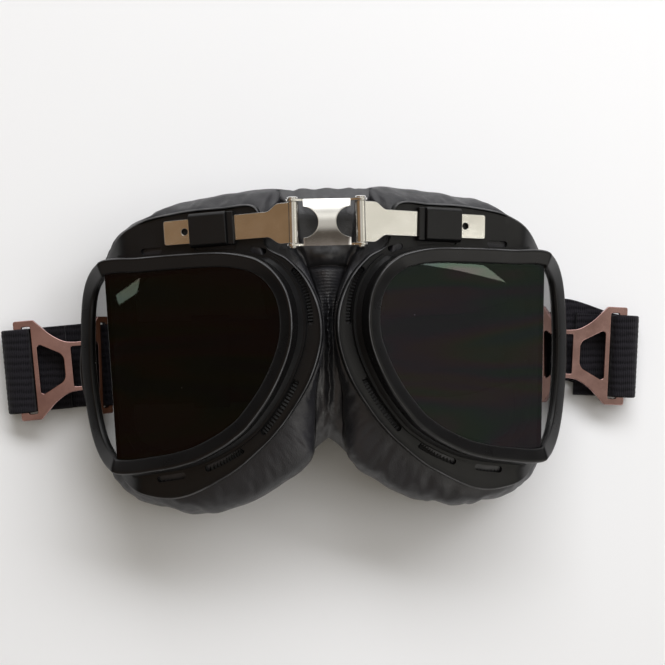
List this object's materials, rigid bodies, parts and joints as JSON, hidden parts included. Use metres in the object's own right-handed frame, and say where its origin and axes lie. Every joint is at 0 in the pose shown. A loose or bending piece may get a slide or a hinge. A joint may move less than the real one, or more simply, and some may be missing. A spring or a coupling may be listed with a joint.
{
  "type": "tinted goggles",
  "caption": "Folding riding goggles: two split tinted lenses in black frames, hinged chrome nose bridge, padded cushion, buckles and elastic strap.",
  "frame": {"origin": "centre of the bounding box, at the surface that the goggles lie on with the lenses up", "axes": "+X across the face to the side with the right-hand names, +Y towards the brow, +Z away from the face"},
  "size_m": [0.1932, 0.0932, 0.0496],
  "materials": {
    "frame_plastic": "fine matte moulded black",
    "rim_plastic": "satin black with a soft sheen on its edges",
    "tinted_lens": "dark smoke tint, polished",
    "chrome": "polished chrome plate",
    "buckle_chrome": "chrome plate with a slight haze",
    "leather": "soft black leatherette with a fine grain",
    "foam": "open black foam",
    "seal_rubber": "soft black rubber",
    "webbing": "ribbed black elastic webbing"
  },
  "bodies": {
    "bridge": {"nose_plate": "chrome", "left_hinge_pin": "chrome", "right_hinge_pin": "chrome", "nose_leather": "leather", "strap_band": "webbing"},
    "strap_slide": {"strap_slide": "frame_plastic"},
    "left_arm": {"left_arm": "chrome"},
    "left_cup": {"left_keeper": "frame_plastic", "left_rear_frame": "frame_plastic", "left_bezel": "rim_plastic", "left_front_lens": "tinted_lens", "left_side_lens": "tinted_lens", "left_lens_seal": "seal_rubber", "left_cushion": "leather", "left_foam_lining": "foam", "left_staple": "chrome"},
    "left_buckle": {"left_buckle": "buckle_chrome", "left_strap_loop": "webbing"},
    "right_arm": {"right_arm": "chrome"},
    "right_cup": {"right_keeper": "frame_plastic", "right_rear_frame": "frame_plastic", "right_bezel": "rim_plastic", "right_front_lens": "tinted_lens", "right_side_lens": "tinted_lens", "right_lens_seal": "seal_rubber", "right_cushion": "leather", "right_foam_lining": "foam", "right_staple": "chrome"},
    "right_buckle": {"right_buckle": "buckle_chrome", "right_strap_loop": "webbing"}
  },
  "joints": [
    {"name": "left_hinge", "type": "hinge", "parent": "bridge", "child": "left_arm", "pos_m": [-0.00945, 0.036, 0.0414], "axis": [0, 1, 0], "range_deg": [-3, 30], "deforming": ["nose_leather", "strap_band"]},
    {"name": "left_nose_slide", "type": "slide", "parent": "left_arm", "child": "left_cup", "axis": [-0.9501, -0.0454, -0.3087], "range_m": [-0.0003, 0.004], "deforming": ["nose_leather", "strap_band"]},
    {"name": "left_buckle_hinge", "type": "hinge", "parent": "left_cup", "child": "left_buckle", "pos_m": [-0.07021, -0.003, 0.0066], "axis": [-0.0698, 0.9976, 0], "range_deg": [-12, 26], "deforming": ["strap_band"]},
    {"name": "right_hinge", "type": "hinge", "parent": "bridge", "child": "right_arm", "pos_m": [0.00945, 0.036, 0.0414], "axis": [0, -1, 0], "range_deg": [-3, 30], "deforming": ["nose_leather", "strap_band"]},
    {"name": "right_nose_slide", "type": "slide", "parent": "right_arm", "child": "right_cup", "axis": [0.9501, -0.0454, -0.3087], "range_m": [-0.0003, 0.004], "deforming": ["nose_leather", "strap_band"]},
    {"name": "right_buckle_hinge", "type": "hinge", "parent": "right_cup", "child": "right_buckle", "pos_m": [0.07021, -0.003, 0.0066], "axis": [-0.0698, -0.9976, 0], "range_deg": [-12, 26], "deforming": ["strap_band"]},
    {"name": "strap_adjust", "type": "slide", "parent": "bridge", "child": "strap_slide", "axis": [1, 0, 0], "range_m": [-0.008, 0.016]}
  ]
}
